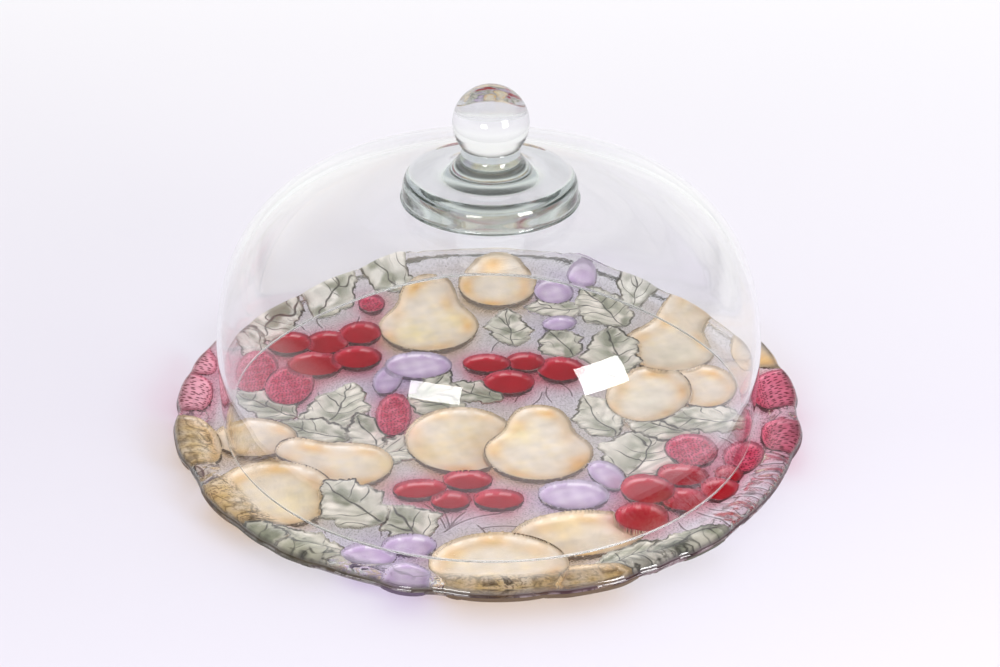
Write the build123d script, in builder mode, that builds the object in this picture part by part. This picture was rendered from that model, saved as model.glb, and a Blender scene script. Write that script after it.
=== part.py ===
from build123d import *
import math
import os

# Cheese dome: a clear glass dome with a ball knob, standing on a round pressed-glass plate.
# Millimetres, +Z up, origin on the table under the middle of the plate.
# The dome lifts straight off the plate. Nothing else moves.

# ---- Driving dimensions ----
dome_radius = 138.0  # outside of the rim: an 11 inch dome
dome_height = 118.0  # rim to crown
dome_side_height = 35.0  # straight part of the side, below the shoulder
dome_side_wall = 4.0
dome_crown_wall = 5.5
dome_rim_round = 1.5
crown_flat_radius = 70.0  # where the shoulder runs out into the flat crown
shoulder_pull_out = 57.0  # the shoulder's curve leaves the crown level for this far
shoulder_pull_up = 33.0  # and meets the side upright over this height
inner_pull_out = 55.3  # the same two on the inside of the glass
inner_pull_up = 31.0

plate_radius = 162.5  # mean radius of the waved edge: a 13 inch platter
plate_glass = 6.0  # thickness between the top and the ground of the relief
relief_depth = 7.0  # the largest fruit stand this far below the ground, on the table
rim_rise = 3.5  # the edge turns up this far above the serving face
rim_width = 18.5  # from where the edge starts to turn up, out to the mean radius
rim_slope_width = 11.0  # the sloping part of it
seat_height = relief_depth + plate_glass  # serving face, where the dome's rim stands

disc_radius = 43.0
disc_height = 12.8
disc_foot_radius = 44.0  # the disc spreads a little where it meets the dome
disc_foot_height = 1.8
disc_flat_radius = 36.5  # the rounded upper edge runs out into the flat top here
disc_round_pull = 6.0  # how long the rounded edge stays upright
collar_radius = 30.0  # the flat top starts to rise to the neck here
collar_height = 10.5  # and is upright this far above the top
neck_radius = 14.3
neck_height = 26.5  # crown of the dome to the underside of the ball
ball_radius = 18.5

# Fired-on colour is about a twentieth of this thick on a real plate.
enamel = 0.3

# ---- Waved edge of the plate ----
major_waves = 12
major_wave_height = 1.1
minor_waves = 7
minor_wave_height = 0.5
wave_points = 96

# ---- Fruit and leaves pressed under the plate ----
# Each has a colour, an outline, its centre, its width, its length and the way it points
# (degrees anticlockwise from +Y). A pear is placed by the middle of its round body.
# They go from the back of the relief to the front: a later one covers an earlier one.
fruit_and_leaves = [
    ("leaf", "leaf", (-78, -2), 30, 54, -8),
    ("leaf", "leaf", (-118, 0), 28, 40, 60),
    ("leaf", "leaf", (-47, -42), 24, 40, -60),
    ("leaf", "leaf", (-10, 18), 22, 34, 70),
    ("leaf", "leaf", (-28, 28), 16, 30, -25),
    ("leaf", "leaf", (-122, 92), 24, 44, -32),
    ("leaf", "leaf", (-92, 122), 28, 46, -20),
    ("leaf", "leaf", (38, 108), 20, 34, 90),
    ("leaf", "leaf", (40, 72), 26, 30, 20),
    ("leaf", "leaf", (88, 134), 22, 44, -10),
    ("leaf", "leaf", (78, -40), 40, 62, -18),
    ("leaf", "leaf", (106, -13), 28, 46, 80),
    ("leaf", "leaf", (-86, -121), 20, 46, 72),
    ("leaf", "leaf", (-38, -102), 28, 32, 30),
    ("leaf", "leaf", (70, -128), 18, 48, -66),
    ("leaf", "leaf", (112, -98), 20, 44, -40),
    ("leaf", "leaf", (138, -66), 16, 36, -28),
    ("pear", "oval", (116, 24), 36, 46, 0),
    ("pear", "oval", (85, 17), 44, 60, -20),
    ("pear", "oval", (5, 133), 46, 44, 0),
    ("pear", "pear", (-34, 90), 56, 80, 3),
    ("pear", "oval", (150, 56), 22, 54, 12),
    ("pear", "oval", (-118, -32), 42, 34, 0),
    ("pear", "pear", (-66, -54), 38, 62, 68),
    ("pear", "oval", (-148, -40), 24, 42, 20),
    ("pear", "pear", (-19, -31), 44, 58, -12),
    ("pear", "oval", (-103, -80), 60, 54, -10),
    ("pear", "pear", (100, 67), 52, 80, -20),
    ("pear", "oval", (42, -110), 64, 36, 8),
    ("pear", "oval", (5, -133), 62, 46, 0),
    ("pear", "pear", (25, -40), 54, 72, -2),
    ("leaf", "leaf", (-65, -86), 34, 46, 45),
    ("leaf", "leaf", (69, 63), 34, 56, 4),
    ("raspberry", "oval", (-128, 36), 28, 48, 0),
    ("raspberry", "oval", (-106, 22), 26, 42, 0),
    ("raspberry", "oval", (-49, -6), 18, 42, 0),
    ("raspberry", "oval", (-157, 40), 16, 40, 12),
    ("raspberry", "oval", (-156, 3), 18, 34, 0),
    ("raspberry", "oval", (-68, 113), 15, 18, 20),
    ("raspberry", "oval", (102, -40), 26, 28, 0),
    ("raspberry", "oval", (128, -47), 22, 28, -20),
    ("raspberry", "oval", (149, -36), 18, 34, 12),
    ("raspberry", "oval", (152, 11), 26, 34, 0),
    ("plum", "oval", (-54, 30), 15, 30, -6),
    ("plum", "oval", (-38, 46), 36, 28, 0),
    ("plum", "oval", (58, -62), 16, 26, 25),
    ("plum", "oval", (41, -79), 34, 23, 0),
    ("plum", "oval", (-55, -129), 24, 17, 0),
    ("plum", "oval", (-35, -143), 14, 20, 10),
    ("plum", "oval", (-36, -119), 25, 17, 0),
    ("plum", "oval", (38, 126), 23, 25, 0),
    ("plum", "oval", (40, 93), 20, 15, 20),
    ("plum", "oval", (56, 139), 18, 12, -20),
    ("berry", "oval", (-94, 46), 30, 26, 0),
    ("berry", "oval", (-90, 70), 24, 25, 0),
    ("berry", "oval", (-72, 54), 26, 24, 0),
    ("berry", "oval", (-111, 69), 25, 24, 0),
    ("berry", "oval", (-72, 81), 23, 24, 0),
    ("berry", "oval", (39, 43), 25, 25, 0),
    ("berry", "oval", (20, 51), 21, 19, 0),
    ("berry", "oval", (-1, 49), 26, 19, 0),
    ("berry", "oval", (11, 29), 27, 24, 0),
    ("berry", "oval", (5, -83), 24, 15, 0),
    ("berry", "oval", (-18, -84), 19, 14, 0),
    ("berry", "oval", (-33, -75), 26, 15, 8),
    ("berry", "oval", (-10, -67), 24, 17, 0),
    ("berry", "oval", (118, -62), 15, 16, 0),
    ("berry", "oval", (112, -74), 20, 20, 0),
    ("berry", "oval", (95, -62), 24, 18, 0),
    ("berry", "oval", (93, -82), 22, 18, 0),
    ("berry", "oval", (77, -74), 26, 23, 0),
    ("berry", "oval", (72, -96), 25, 22, 10),
]

# Height of each colour's lowest point above the table. The pears are the deepest.
enamel_height = {"pear": 0.0, "berry": 1.0, "raspberry": 1.5, "plum": 2.0, "leaf": 4.0}

outline_gap = 1.6  # clear glass left between neighbouring fruit
pattern_radius = 157.0  # the relief stops short of the waved edge
smallest_patch = 20.0  # slivers of fruit under this area, in square mm, are left clear

pear_neck_share = 0.27  # a pear's neck radius as a share of its width
leaf_teeth = 5  # on each side of a leaf
leaf_tooth_depth = 0.14  # as a share of the leaf's half width


def plate_edge_point(step):
    """One of the points that the waved edge runs through, counted round the plate."""
    angle = 2 * math.pi * step / wave_points
    major_wave = major_wave_height * math.cos(major_waves * angle)
    minor_wave = minor_wave_height * math.sin(minor_waves * angle)
    radius = plate_radius + major_wave + minor_wave
    return (radius * math.cos(angle), radius * math.sin(angle))


def leaf_outline(width, length):
    """A pointed oval with saw teeth, as a closed list of corners."""
    right_side = []
    corners = 2 * leaf_teeth
    for corner in range(1, corners):
        along = corner / corners
        half_width = width / 2 * math.sin(math.pi * along)
        tooth = leaf_tooth_depth if corner % 2 else -leaf_tooth_depth
        right_side.append((half_width * (1 + tooth), length * (along - 0.5)))
    left_side = [(-x, y) for x, y in reversed(right_side)]
    return [(0, -length / 2), *right_side, (0, length / 2), *left_side]


def fruit_face(shape, centre, width, length, turn, grow=0.0):
    """The outline of one fruit or leaf on the table plane, made larger all round by grow."""
    width = width + 2 * grow
    length = length + 2 * grow
    with BuildSketch() as outline:
        with Locations(Location((*centre, 0), (0, 0, turn))):
            if shape == "oval":
                Ellipse(width / 2, length / 2)
            elif shape == "leaf":
                Polygon(*leaf_outline(width, length), align=None)
            else:
                Circle(width / 2)
                neck_radius_here = pear_neck_share * width
                with Locations((0, length - width / 2 - neck_radius_here)):
                    Circle(neck_radius_here)
        if shape == "pear":
            make_hull()
    return outline.sketch


def colour_patches(colour):
    """The faces of one colour, each cut back where a fruit in front of it covers it."""
    with BuildSketch() as patches:
        for fruit_colour, shape, centre, width, length, turn in fruit_and_leaves:
            if patches.faces():
                cover = fruit_face(shape, centre, width, length, turn, grow=outline_gap)
                add(cover, mode=Mode.SUBTRACT)
            if fruit_colour == colour:
                add(fruit_face(shape, centre, width, length, turn))
        Circle(pattern_radius, mode=Mode.INTERSECT)
    return [face for face in patches.faces() if face.area > smallest_patch]


patches_by_colour = {colour: colour_patches(colour) for colour in enamel_height}

# ---- Plate: a turned disc with an upturned, waved edge and the raised fruit under it ----
edge_start = plate_radius - rim_width  # the serving face is flat out to here, past the dome's rim
edge_crest = edge_start + rim_slope_width  # the edge levels out again here
blank_radius = plate_radius + 4.0  # the disc before its edge is waved
plate_top = seat_height + rim_rise
above_plate = 1.0  # cuts and bosses run this far past the glass that bounds them

with BuildPart() as cake_plate:
    with BuildSketch(Plane.XZ):
        with BuildLine():
            Polyline(
                (0, relief_depth),
                (edge_start, relief_depth),
                (edge_crest, relief_depth + rim_rise),
                (blank_radius, relief_depth + rim_rise),
                (blank_radius, plate_top),
                (edge_crest, plate_top),
                (edge_start, seat_height),
                (0, seat_height),
                close=True,
            )
        make_face()
    revolve(axis=Axis.Z)
    with BuildSketch():
        with BuildLine():
            edge_points = [plate_edge_point(step) for step in range(wave_points)]
            Spline(*edge_points, periodic=True)
        make_face()
    extrude(amount=plate_top + above_plate, mode=Mode.INTERSECT)
    # The bosses reach up into the glass, even where the edge has turned up.
    boss_head = relief_depth + rim_rise + above_plate
    for colour, patches in patches_by_colour.items():
        boss_foot = enamel_height[colour] + enamel
        boss_faces = [face.moved(Location((0, 0, boss_foot))) for face in patches]
        extrude(boss_faces, amount=boss_head - boss_foot, dir=(0, 0, 1))
cake_plate.part.label = "cake_plate"

# ---- Fired-on colours: one thin solid on the foot of each raised fruit or leaf ----
enamels = {}
for colour, patches in patches_by_colour.items():
    with BuildPart() as colour_coat:
        coat_faces = [face.moved(Location((0, 0, enamel_height[colour]))) for face in patches]
        extrude(coat_faces, amount=enamel, dir=(0, 0, 1))
    colour_coat.part.label = f"{colour}_enamel"
    enamels[colour] = colour_coat.part

# ---- Dome: blown glass, straight at the side, with a round shoulder and a flat crown ----
crown_height = seat_height + dome_height
shoulder_foot = seat_height + dome_side_height
inner_radius = dome_radius - dome_side_wall
inner_crown = crown_height - dome_crown_wall
inner_flat = crown_flat_radius - dome_side_wall

with BuildPart() as dome_shell:
    with BuildSketch(Plane.XZ):
        with BuildLine():
            Polyline(
                (0, inner_crown),
                (0, crown_height),
                (crown_flat_radius, crown_height),
            )
            # The shoulder leaves the crown level and meets the side upright.
            Bezier(
                (crown_flat_radius, crown_height),
                (crown_flat_radius + shoulder_pull_out, crown_height),
                (dome_radius, shoulder_foot + shoulder_pull_up),
                (dome_radius, shoulder_foot),
            )
            Polyline(
                (dome_radius, shoulder_foot),
                (dome_radius, seat_height),
                (inner_radius, seat_height),
                (inner_radius, shoulder_foot),
            )
            Bezier(
                (inner_radius, shoulder_foot),
                (inner_radius, shoulder_foot + inner_pull_up),
                (inner_flat + inner_pull_out, inner_crown),
                (inner_flat, inner_crown),
            )
            Line((inner_flat, inner_crown), (0, inner_crown))
        make_face()
    revolve(axis=Axis.Z)
    rim_edges = dome_shell.edges().filter_by(GeomType.CIRCLE).group_by(Axis.Z)[0]
    fillet(rim_edges, radius=dome_rim_round)
dome_shell.part.label = "dome_shell"

# ---- Knob: a thick disc fused on the crown, with a cove up to a short neck ----
disc_top = crown_height + disc_height
neck_top = crown_height + neck_height
foot_middle = (disc_radius + 0.3 * (disc_foot_radius - disc_radius), crown_height + 0.3 * disc_foot_height)

with BuildPart() as knob_disc:
    with BuildSketch(Plane.XZ):
        with BuildLine():
            Polyline((0, neck_top), (0, crown_height), (disc_foot_radius, crown_height))
            ThreePointArc(
                (disc_foot_radius, crown_height),
                foot_middle,
                (disc_radius, crown_height + disc_foot_height),
            )
            # The upper edge is rounded: upright at the side, level at the top.
            Bezier(
                (disc_radius, crown_height + disc_foot_height),
                (disc_radius, crown_height + disc_foot_height + disc_round_pull),
                (disc_radius - 1, disc_top),
                (disc_flat_radius, disc_top),
            )
            Line((disc_flat_radius, disc_top), (collar_radius, disc_top))
            # The collar: level at the disc, upright at the neck.
            Bezier(
                (collar_radius, disc_top),
                ((collar_radius + neck_radius) / 2, disc_top),
                (neck_radius + 1, disc_top + collar_height / 2),
                (neck_radius, disc_top + collar_height),
            )
            Polyline(
                (neck_radius, disc_top + collar_height),
                (neck_radius, neck_top),
                (0, neck_top),
            )
        make_face()
    revolve(axis=Axis.Z)
knob_disc.part.label = "knob_disc"

# ---- Ball: a solid glass ball, cut flat where it is fused to the neck ----
ball_centre = neck_top + math.sqrt(ball_radius**2 - neck_radius**2)

with BuildPart() as knob_ball:
    with BuildSketch(Plane.XZ):
        with BuildLine():
            ThreePointArc(
                (neck_radius, neck_top),
                (ball_radius, ball_centre),
                (0, ball_centre + ball_radius),
            )
            Polyline((0, ball_centre + ball_radius), (0, neck_top), (neck_radius, neck_top))
        make_face()
    revolve(axis=Axis.Z)
knob_ball.part.label = "knob_ball"

# ---- One STEP file per node ----
os.makedirs("parts", exist_ok=True)
export_step(cake_plate.part, "parts/cake_plate.step")
for colour, coat in enamels.items():
    export_step(coat, f"parts/{colour}_enamel.step")
export_step(dome_shell.part, "parts/dome_shell.step")
export_step(knob_disc.part, "parts/knob_disc.step")
export_step(knob_ball.part, "parts/knob_ball.step")

print("dome outside diameter", 2 * dome_radius)
print("plate diameter about", 2 * plate_radius)
print("total height", ball_centre + ball_radius)
for colour, patches in patches_by_colour.items():
    print(colour, "patches", len(patches))
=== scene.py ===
import math

import bpy
import numpy as np
from mathutils import Matrix, Vector


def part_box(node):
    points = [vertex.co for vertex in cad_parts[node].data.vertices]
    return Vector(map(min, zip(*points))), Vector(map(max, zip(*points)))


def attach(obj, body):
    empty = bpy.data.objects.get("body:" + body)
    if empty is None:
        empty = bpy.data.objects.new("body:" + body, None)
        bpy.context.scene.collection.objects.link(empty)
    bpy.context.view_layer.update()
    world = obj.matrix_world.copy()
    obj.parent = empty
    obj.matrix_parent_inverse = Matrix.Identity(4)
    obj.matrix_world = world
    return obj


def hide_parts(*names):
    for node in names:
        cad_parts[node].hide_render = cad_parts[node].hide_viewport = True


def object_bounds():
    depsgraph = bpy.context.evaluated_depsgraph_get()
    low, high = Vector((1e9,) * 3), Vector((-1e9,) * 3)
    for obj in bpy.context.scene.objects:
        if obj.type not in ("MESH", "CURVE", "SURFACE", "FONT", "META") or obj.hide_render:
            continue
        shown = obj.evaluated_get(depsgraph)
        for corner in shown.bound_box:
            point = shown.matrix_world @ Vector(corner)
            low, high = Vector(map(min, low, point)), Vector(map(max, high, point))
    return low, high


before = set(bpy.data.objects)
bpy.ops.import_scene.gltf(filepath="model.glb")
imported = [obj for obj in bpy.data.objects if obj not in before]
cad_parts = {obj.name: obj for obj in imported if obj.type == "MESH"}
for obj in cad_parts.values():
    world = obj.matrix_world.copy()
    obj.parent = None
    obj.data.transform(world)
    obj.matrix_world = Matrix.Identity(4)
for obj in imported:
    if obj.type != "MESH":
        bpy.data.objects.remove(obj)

# Cheese dome: a clear glass dome with a ball knob on a pressed-glass plate, which has
# coloured fruit in relief under it. Scene units are metres, in the CAD frame; the sizes of
# the fruit pattern are in millimetres and are multiplied by MM where meshes are made.
MM = 0.001
cad_low, cad_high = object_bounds()

# ---- Sizes from the frame ----
dome_low, dome_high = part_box("dome_shell")
disc_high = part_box("knob_disc")[1]
ball_low, ball_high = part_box("knob_ball")
serving_face = dome_low.z  # top of the plate, where the dome's rim stands
crown = dome_high.z
rim_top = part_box("cake_plate")[1].z
dome_radius = dome_high.x
EDGE_CLEARANCE = 0.4  # mm, by which the plate's edge stays inside the CAD's box
plate_reach = min(cad_high.x, cad_high.y) / MM - EDGE_CLEARANCE
ground_height = 7.0  # mm from the table to the underside of the plate's clear ground

GRID = 420  # cells across the relief
SEGMENTS = 256  # round each turned piece
RELIEF_SMOOTH = 60  # degrees between two faces, above which their edge is sharp
TURNED_SMOOTH = 40


# ---- The pattern ----
# Back to front: kind, centre, width, length and direction in degrees from +Y, in millimetres.
PATTERN = [
    ("leaf", (-78, -2), 34, 58, -8),
    ("leaf", (-118, 0), 30, 44, 60),
    ("leaf", (-90, -24), 24, 42, 70),
    ("leaf", (-47, -42), 26, 44, -60),
    ("leaf", (-62, -24), 22, 40, 20),
    ("leaf", (-28, 6), 26, 34, 60),
    ("leaf", (-10, 18), 24, 38, 70),
    ("leaf", (-28, 28), 18, 34, -25),
    ("leaf", (-122, 92), 26, 46, -32),
    ("leaf", (-132, 62), 20, 36, 5),
    ("leaf", (-92, 122), 32, 50, -20),
    ("leaf", (-62, 138), 24, 44, 62),
    ("leaf", (12, 88), 26, 40, 4),
    ("leaf", (38, 108), 22, 36, 90),
    ("leaf", (40, 72), 28, 34, 20),
    ("leaf", (66, 112), 34, 50, 30),
    ("leaf", (88, 134), 24, 46, -10),
    ("leaf", (57, -6), 28, 44, 20),
    ("leaf", (78, -40), 40, 64, -18),
    ("leaf", (88, -16), 26, 44, 60),
    ("leaf", (112, -12), 30, 50, 80),
    ("leaf", (-86, -121), 22, 48, 72),
    ("leaf", (-108, -112), 14, 34, 60),
    ("leaf", (-38, -102), 30, 32, 30),
    ("leaf", (70, -128), 20, 50, -66),
    ("leaf", (92, -118), 16, 40, -58),
    ("apple", (116, 24), 36, 46, 0),
    ("apple", (85, 17), 44, 60, -20),
    ("apple", (5, 133), 46, 44, 0),
    ("pear", (-34, 90), 56, 80, 3),
    ("apple", (150, 56), 22, 54, 12),
    ("apple", (-118, -32), 42, 34, 0),
    ("pear", (-66, -54), 38, 62, 68),
    ("apple", (-148, -40), 26, 44, 20),
    ("apple", (-14, -29), 56, 62, 0),
    ("apple", (-103, -80), 60, 54, -10),
    ("pear", (100, 67), 52, 80, -20),
    ("apple", (42, -110), 64, 36, 8),
    ("apple", (24, -148), 84, 22, 8),
    ("apple", (5, -134), 64, 50, 0),
    ("pear", (25, -40), 54, 72, -2),
    ("leaf", (-65, -86), 34, 46, 45),
    ("leaf", (69, 63), 34, 56, 4),
    ("raspberry", (-128, 36), 28, 48, 0),
    ("raspberry", (-106, 22), 26, 42, 0),
    ("raspberry", (-49, -6), 18, 42, 0),
    ("raspberry", (-157, 40), 18, 40, 12),
    ("raspberry", (-156, 3), 20, 36, 0),
    ("raspberry", (-68, 113), 15, 18, 20),
    ("raspberry", (102, -40), 26, 28, 0),
    ("raspberry", (128, -47), 22, 28, -20),
    ("raspberry", (150, -34), 20, 34, 12),
    ("raspberry", (152, 11), 26, 34, 0),
    ("plum", (-54, 30), 15, 30, -6),
    ("plum", (-38, 46), 36, 28, 0),
    ("plum", (58, -62), 16, 26, 25),
    ("plum", (41, -79), 34, 23, 0),
    ("plum", (-55, -129), 26, 20, 0),
    ("plum", (-36, -146), 20, 24, 10),
    ("plum", (-36, -119), 25, 17, 0),
    ("plum", (38, 126), 23, 25, 0),
    ("plum", (40, 93), 20, 15, 20),
    ("plum", (56, 139), 18, 12, -20),
    ("berry", (-94, 46), 30, 26, 0),
    ("berry", (-90, 70), 24, 25, 0),
    ("berry", (-72, 54), 26, 24, 0),
    ("berry", (-111, 69), 25, 24, 0),
    ("berry", (-72, 81), 23, 24, 0),
    ("berry", (39, 43), 25, 25, 0),
    ("berry", (20, 51), 21, 19, 0),
    ("berry", (-1, 49), 26, 19, 0),
    ("berry", (11, 29), 27, 24, 0),
    ("berry", (5, -83), 24, 15, 0),
    ("berry", (-18, -84), 19, 14, 0),
    ("berry", (-33, -75), 26, 15, 8),
    ("berry", (-10, -67), 24, 17, 0),
    ("berry", (118, -62), 15, 16, 0),
    ("berry", (112, -74), 20, 20, 0),
    ("berry", (95, -62), 24, 18, 0),
    ("berry", (93, -82), 22, 18, 0),
    ("berry", (77, -74), 26, 23, 0),
    ("berry", (72, -96), 25, 22, 10),
]
COLOURS = ["pear", "berry", "raspberry", "plum", "leaf"]
COLOUR_OF = {**{colour: colour for colour in COLOURS}, "apple": "pear"}
KIND = np.array([COLOURS.index(COLOUR_OF[row[0]]) for row in PATTERN] + [-1])

# How far each colour's fruit bulge below the ground, and how wide their rounded shoulder is.
BULGE = {"pear": 5.0, "berry": 4.6, "raspberry": 4.4, "plum": 4.2, "leaf": 1.5}
SHOULDER = {"pear": 5.0, "berry": 4.2, "raspberry": 4.2, "plum": 4.2, "leaf": 1.8}
BELLY = 1.75  # how much further the middle of a pear or apple bulges, down to the table
BELLY_WIDTH = 26.0  # the depth inside its outline where it does
BELLY_REACH = 125.0  # mm from the plate's middle, beyond which there are no such bellies
PEAR_NECK = 0.27  # radius of a pear's neck, as a share of the pear's width
PEAR_WAIST = 0.05  # how far it draws in between neck and body, as a share of its width
BEADS = 0.3  # mm, height of a raspberry's beads
MIDRIB = 0.7  # mm, depth of a leaf's middle groove


def local_axes(x, y, centre, turn):
    """Coordinates across (u) and along (v) a fruit that points turn degrees from +Y."""
    angle = math.radians(turn)
    dx, dy = x - centre[0], y - centre[1]
    return dx * math.cos(angle) + dy * math.sin(angle), -dx * math.sin(angle) + dy * math.cos(angle)


def oval_distance(u, v, width, length):
    """Signed distance to an ellipse, negative inside, close to true near its edge."""
    a, b = width / 2, length / 2
    k = np.sqrt((u / a) ** 2 + (v / b) ** 2)
    slope = np.sqrt((u / a**2) ** 2 + (v / b**2) ** 2) / np.maximum(k, 1e-6)
    return (k - 1) / np.maximum(slope, 1 / max(a, b))


def pear_distance(u, v, width, length):
    """Signed distance to a round body with a narrower neck and a slight waist between them."""
    body, neck = width / 2, PEAR_NECK * width
    rise = length - body - neck
    u = np.abs(u)
    b = (body - neck) / rise
    a = math.sqrt(1 - b * b)
    along = -b * u + a * v
    distance = np.where(
        along < 0,
        np.hypot(u, v) - body,
        np.where(along > a * rise, np.hypot(u, v - rise) - neck, a * u + b * v - body),
    )
    waist = PEAR_WAIST * width * np.exp(-(((v - 0.62 * rise) / (0.3 * rise)) ** 2))
    return distance + waist


def leaf_distance(u, v, width, length):
    """Signed distance to a pointed leaf with a lobed edge."""
    bent = u + 0.06 * width * np.sin(v / length * 5 + width)
    along = v / length + 0.5
    inside = np.clip(along, 0, 1)
    half = width / 2 * np.sin(math.pi * inside**0.85) ** 0.8
    phase = 2 * math.pi * inside
    own = 1.7 * width + 0.9 * length + 2.1 * (bent > 0)  # no two leaves or sides are alike
    lobe = np.sin(2.6 * phase + own) + 0.7 * np.sin(4.9 * phase + 1.7 * own)
    tooth = np.sin(10.3 * phase + own) + 0.6 * np.sin(17.1 * phase + 2.3 * own)
    half = half * (0.93 + 0.09 * lobe) + 0.35 * tooth
    beyond = np.maximum(-along, along - 1) * length
    return np.maximum((np.abs(bent) - half) * 0.8, beyond)


# Stems and tendrils on the clear ground: start, end, and how far the middle bows to the left.
STEMS = [
    ((-30, -88), (-20, -106), 1.5),
    ((-25, -86), (-18, -107), 1.5),
    ((-11, -94), (-18, -107), -1.0),
    ((5, -95), (-20, -109), -3.0),
    ((-5, -104), (-1, -111), 0.5),
    ((-2, -106), (14, -105), 1.0),
    ((-41, -88), (-40, -97), 0.8),
    ((-106, 0), (-110, -10), 1.0),
    ((-101, -1), (-102, -11), -0.8),
    ((-90, 14), (-91, -5), 2.0),
    ((-52, -96), (-58, -106), 1.5),
    ((-47, -100), (-49, -112), -1.5),
    ((-84, -98), (-76, -112), 2.0),
    ((100, -95), (112, -108), 1.5),
    ((106, -92), (118, -104), 2.0),
    ((112, -88), (125, -99), 2.0),
    ((119, -84), (132, -92), 2.0),
    ((124, -78), (137, -84), 2.0),
    ((90, -103), (96, -112), -1.0),
    ((128, -72), (142, -76), 2.0),
    ((131, -64), (146, -67), 1.5),
    ((134, -56), (150, -58), -1.5),
    ((104, -112), (120, -108), -2.0),
    ((96, -120), (112, -116), 1.5),
    ((126, -96), (136, -88), 1.5),
    ((-146, -62), (-138, -74), 2.0),
    ((-152, -58), (-144, -68), 1.5),
    ((-64, -146), (-48, -150), 2.0),
    ((54, -147), (70, -142), -2.0),
    ((60, -138), (78, -136), 2.0),
    ((58, -92), (60, -101), 0.8),
    ((14, 8), (22, 20), 1.5),
    ((22, 4), (28, 17), -1.5),
    ((33, 8), (31, 22), 1.5),
    ((44, 14), (38, 27), -1.5),
    ((-112, 92), (-104, 84), 1.0),
    ((-98, 96), (-94, 86), -1.0),
    ((-74, 98), (-76, 90), 0.6),
    ((30, 62), (28, 70), 0.6),
    ((2, 62), (8, 74), 1.5),
    ((-62, -2), (-58, -16), -1.5),
    ((64, -50), (72, -58), 1.0),
    ((118, -30), (124, -38), 1.0),
    ((-24, 12), (-14, 4), 1.5),
]
NO_STEM = 9.0  # mm, further from a stem than its lines reach


def stem_distance(x, y):
    """Signed distance to the nearest stem, in mm."""
    nearest = np.full(x.shape, NO_STEM)
    for start, end, bow in STEMS:
        length = math.dist(start, end)
        along_x, along_y = (end[0] - start[0]) / length, (end[1] - start[1]) / length
        dx, dy = x - start[0], y - start[1]
        t = np.clip((dx * along_x + dy * along_y) / length, 0, 1)
        side = dy * along_x - dx * along_y - 4 * bow * t * (1 - t)
        beyond = dx * along_x + dy * along_y - t * length
        distance = np.copysign(np.hypot(side, beyond), side)
        nearest = np.where(np.abs(distance) < np.abs(nearest), distance, nearest)
    return nearest


DISTANCE = {
    "apple": oval_distance,
    "pear": pear_distance,
    "berry": oval_distance,
    "raspberry": oval_distance,
    "plum": oval_distance,
    "leaf": leaf_distance,
}
RIM_FRUIT = 150.0  # mm from the middle, beyond which the pattern is drawn out
DRAWN_OUT = 0.55  # how much of the way out the pattern moves there
ON_EDGE = 0.12  # mm, within which a point on a fruit's outline counts as the fruit's
FAR = 1e3  # mm, further than anything on the plate


def survey(x, y):
    """For points in mm: the front fruit at each (or -1), the distance inwards from its visible
    edge, its own depth, u and v, and the distance out to the nearest red fruit."""
    owner = np.full(x.shape, -1)
    depth_in = np.full(x.shape, FAR)
    own_depth = np.zeros(x.shape)
    red = np.full(x.shape, FAR)
    own_u, own_v = np.zeros(x.shape), np.zeros(x.shape)
    # Fruit at the rim runs out over the edge.
    out = np.maximum(np.hypot(x, y), 1)
    stretch = np.where(out > RIM_FRUIT, (RIM_FRUIT + (out - RIM_FRUIT) * DRAWN_OUT) / out, 1)
    x, y = x * stretch, y * stretch
    for index, (kind, centre, width, length, turn) in enumerate(PATTERN):
        u, v = local_axes(x, y, centre, turn)
        d = DISTANCE[kind](u, v, width, length)
        here = d < ON_EDGE
        owner[here] = index
        own_depth[here] = np.maximum(-d[here], 0)
        depth_in[here] = np.abs(d[here])
        depth_in[~here] = np.minimum(depth_in[~here], d[~here])
        own_u[here], own_v[here] = u[here], v[here]
        if kind in ("berry", "raspberry"):
            red = np.minimum(red, np.maximum(d, 0))
    return owner, depth_in, own_depth, own_u, own_v, red


def relief(owner, own_depth, own_u, own_v):
    """How far the underside bulges down, in mm."""
    down = np.zeros(owner.shape)
    inboard = np.array([math.hypot(*row[1]) < BELLY_REACH for row in PATTERN] + [False])
    half_widths = np.array([min(row[2], row[3]) / 2 for row in PATTERN] + [1.0])[owner]
    for kind, colour in enumerate(COLOURS):
        reach = np.minimum(SHOULDER[colour], 0.95 * half_widths)
        t = np.clip(own_depth / reach, 0, 1)
        bulge = BULGE[colour] * np.sqrt(1 - (1 - t) ** 2)
        if colour == "pear":
            middle = np.clip(own_depth / BELLY_WIDTH, 0, 1)
            bulge += BELLY * (1 - (1 - middle) ** 2) * inboard[owner]
        if colour == "raspberry":
            cells = np.cos(own_u * 1.9) * np.cos(own_v * 1.1 + 0.95 * own_u)
            bulge += BEADS * cells * np.clip(t * 3, 0, 1)
        if colour == "leaf":
            bulge *= 0.75 + 0.25 * np.cos(own_v * 0.6 - 0.9 * np.abs(own_u))
            bulge -= MIDRIB * np.exp(-((own_u / 0.8) ** 2)) * t
        down = np.where(KIND[owner] == kind, bulge, down)
    return down


# ---- Mesh helpers ----
def enclosed_volume(mesh):
    """Six times the signed volume inside a closed mesh."""
    mesh.calc_loop_triangles()
    corners = np.empty(len(mesh.loop_triangles) * 3, np.int32)
    mesh.loop_triangles.foreach_get("vertices", corners)
    places = np.empty(len(mesh.vertices) * 3)
    mesh.vertices.foreach_get("co", places)
    a, b, c = places.reshape(-1, 3)[corners.reshape(-1, 3)].transpose(1, 0, 2)
    return np.einsum("ij,ij->", a, np.cross(b, c))


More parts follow.
